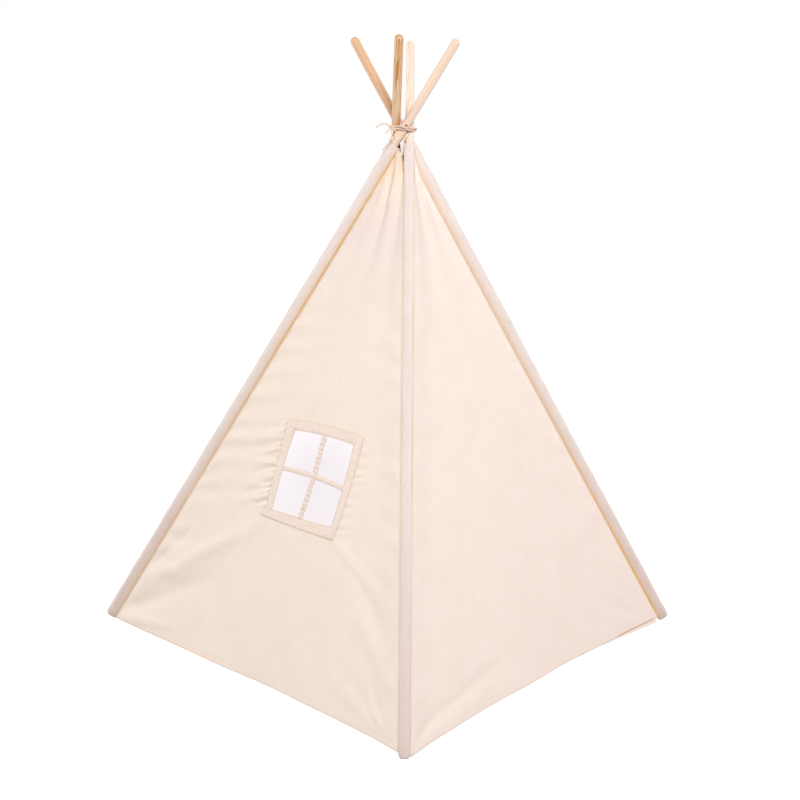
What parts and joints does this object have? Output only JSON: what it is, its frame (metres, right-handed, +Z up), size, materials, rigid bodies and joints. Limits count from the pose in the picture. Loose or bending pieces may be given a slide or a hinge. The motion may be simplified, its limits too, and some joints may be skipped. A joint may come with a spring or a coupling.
{
  "type": "play teepee",
  "caption": "Child's play teepee: jointed wooden poles lashed at the top, a canvas cover with pole sleeves, a barred open window and tied-back door curtains.",
  "frame": {"origin": "middle of the base, on the floor", "axes": "+Z up; the door faces -Y, the window wall faces +X"},
  "size_m": [1.2372, 1.2372, 1.7187],
  "materials": {
    "pine": "turned pine dowel, bare",
    "galvanised_steel": "plain drawn steel tube",
    "cotton_canvas": "plain-weave cotton canvas, matt",
    "cotton_tape": "folded canvas tape, stitched",
    "cotton_rope": "twisted cotton rope"
  },
  "bodies": {
    "lashing": {"rope_lashing": "cotton_rope", "rope_knot": "cotton_rope", "rope_end_curled": "cotton_rope", "rope_end_short_side": "cotton_rope", "rope_end_short_down": "cotton_rope", "rope_end_long": "cotton_rope", "cover_tie": "cotton_tape"},
    "pole_rear_right": {"pole_lower_rear_right": "pine", "pole_middle_rear_right": "pine", "pole_upper_rear_right": "pine", "ferrule_lower_rear_right": "galvanised_steel", "ferrule_upper_rear_right": "galvanised_steel", "sleeve_rear_right": "cotton_canvas", "foot_pocket_rear_right": "cotton_canvas"},
    "pole_rear_left": {"pole_lower_rear_left": "pine", "pole_middle_rear_left": "pine", "pole_upper_rear_left": "pine", "ferrule_lower_rear_left": "galvanised_steel", "ferrule_upper_rear_left": "galvanised_steel", "sleeve_rear_left": "cotton_canvas", "foot_pocket_rear_left": "cotton_canvas"},
    "pole_front_left": {"pole_lower_front_left": "pine", "pole_middle_front_left": "pine", "pole_upper_front_left": "pine", "ferrule_lower_front_left": "galvanised_steel", "ferrule_upper_front_left": "galvanised_steel", "sleeve_front_left": "cotton_canvas", "foot_pocket_front_left": "cotton_canvas"},
    "pole_front_right": {"pole_lower_front_right": "pine", "pole_middle_front_right": "pine", "pole_upper_front_right": "pine", "ferrule_lower_front_right": "galvanised_steel", "ferrule_upper_front_right": "galvanised_steel", "sleeve_front_right": "cotton_canvas", "foot_pocket_front_right": "cotton_canvas"},
    "window_wall": {"wall_window_side": "cotton_canvas", "window_binding": "cotton_tape", "window_bar_level": "cotton_tape", "window_bar_upright": "cotton_tape"},
    "back_wall": {"wall_back": "cotton_canvas"},
    "plain_wall": {"wall_plain_side": "cotton_canvas"},
    "door_wall": {"door_head": "cotton_canvas", "door_curtain_left": "cotton_canvas", "door_curtain_right": "cotton_canvas", "door_tieback_left": "cotton_tape", "door_tieback_right": "cotton_tape"}
  },
  "joints": [
    {"name": "fold_pole_rear_right", "type": "hinge", "parent": "lashing", "child": "pole_rear_right", "pos_m": [-0.0138, 0.0138, 1.4706], "axis": [-0.6907, 0.7232, 0], "range_deg": [0, 26], "deforming": ["sleeve_rear_right"]},
    {"name": "fold_pole_rear_left", "type": "hinge", "parent": "lashing", "child": "pole_rear_left", "pos_m": [-0.0138, -0.0138, 1.4706], "axis": [-0.7232, -0.6907, 0], "range_deg": [0, 26], "deforming": ["sleeve_rear_left"]},
    {"name": "fold_pole_front_left", "type": "hinge", "parent": "lashing", "child": "pole_front_left", "pos_m": [0.0138, -0.0138, 1.4706], "axis": [0.6907, -0.7232, 0], "range_deg": [0, 26], "deforming": ["sleeve_front_left"]},
    {"name": "fold_pole_front_right", "type": "hinge", "parent": "lashing", "child": "pole_front_right", "pos_m": [0.0138, 0.0138, 1.4706], "axis": [0.7232, 0.6907, 0], "range_deg": [0, 26], "deforming": ["sleeve_front_right", "cover_tie"]},
    {"name": "fold_window_wall", "type": "hinge", "parent": "lashing", "child": "window_wall", "pos_m": [0, 0, 1.462], "axis": [0, 1, 0], "range_deg": [0, 19.7], "deforming": ["wall_window_side", "window_binding", "window_bar_level", "window_bar_upright"]},
    {"name": "fold_back_wall", "type": "hinge", "parent": "lashing", "child": "back_wall", "pos_m": [0, 0, 1.462], "axis": [-1, 0, 0], "range_deg": [0, 19.7], "deforming": ["wall_back"]},
    {"name": "fold_plain_wall", "type": "hinge", "parent": "lashing", "child": "plain_wall", "pos_m": [0, 0, 1.462], "axis": [0, -1, 0], "range_deg": [0, 19.7], "deforming": ["wall_plain_side"]},
    {"name": "fold_door_wall", "type": "hinge", "parent": "lashing", "child": "door_wall", "pos_m": [0, 0, 1.462], "axis": [1, 0, 0], "range_deg": [0, 19.7], "deforming": ["door_head", "door_curtain_left", "door_curtain_right", "door_tieback_left", "door_tieback_right"]}
  ],
  "couplings": [
    {"joint": "fold_pole_rear_left", "follows": "fold_pole_rear_right", "ratio": 1},
    {"joint": "fold_pole_front_left", "follows": "fold_pole_rear_right", "ratio": 1},
    {"joint": "fold_pole_front_right", "follows": "fold_pole_rear_right", "ratio": 1},
    {"joint": "fold_window_wall", "follows": "fold_pole_rear_right", "ratio": 0.756},
    {"joint": "fold_back_wall", "follows": "fold_pole_rear_right", "ratio": 0.756},
    {"joint": "fold_plain_wall", "follows": "fold_pole_rear_right", "ratio": 0.756},
    {"joint": "fold_door_wall", "follows": "fold_pole_rear_right", "ratio": 0.756}
  ]
}
